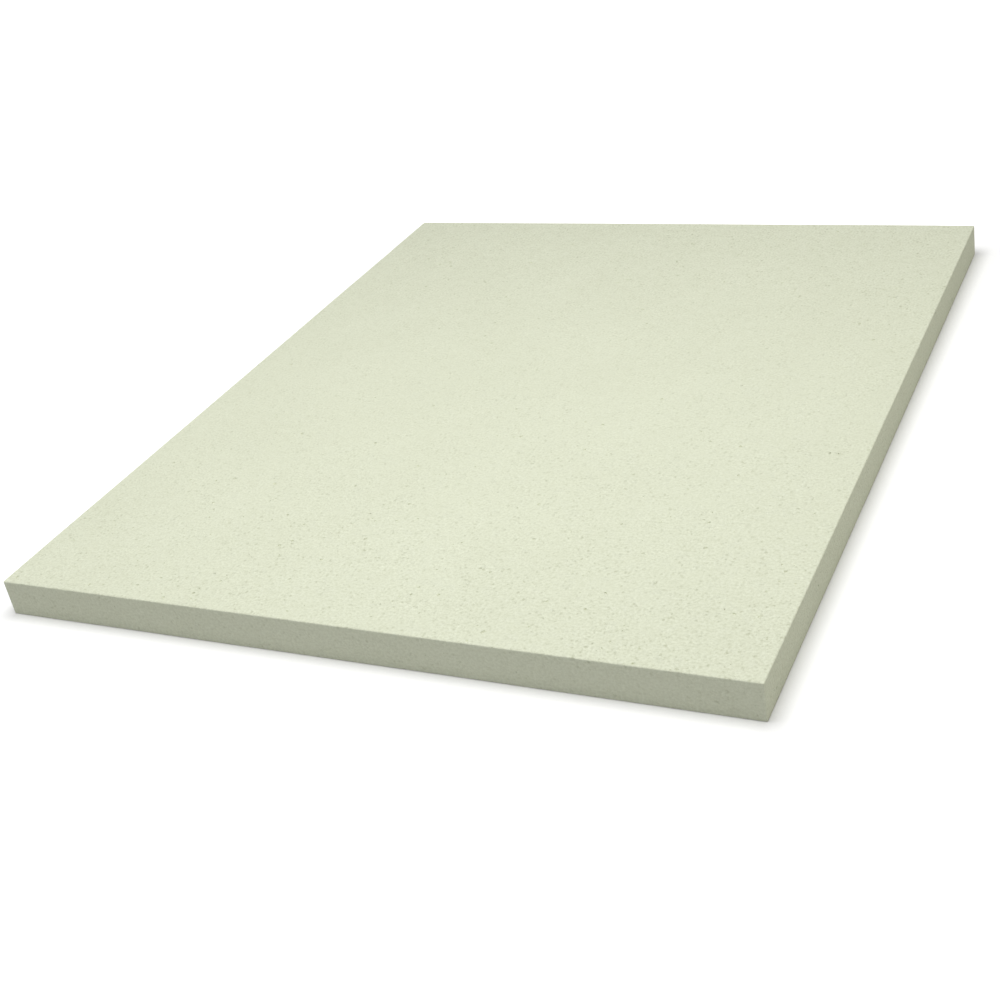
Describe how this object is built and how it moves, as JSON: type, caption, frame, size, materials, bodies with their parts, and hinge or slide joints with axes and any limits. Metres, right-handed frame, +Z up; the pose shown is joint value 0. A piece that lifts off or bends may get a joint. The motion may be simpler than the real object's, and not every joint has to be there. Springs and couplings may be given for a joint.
{
  "type": "ceramic fibre insulation board",
  "caption": "Flat rigid sheet of felted ceramic fibre with sawn square edges, laid or pinned as high-temperature insulation.",
  "frame": {"origin": "centre of the under face, which is the middle of the bounding box's bottom", "axes": "+X across the sheet's width, +Y along its length, +Z up through its thickness"},
  "size_m": [1, 1.2, 0.05],
  "materials": {
    "ceramic_fibre": "matte"
  },
  "bodies": {
    "root": {"board": "ceramic_fibre"}
  },
  "joints": []
}
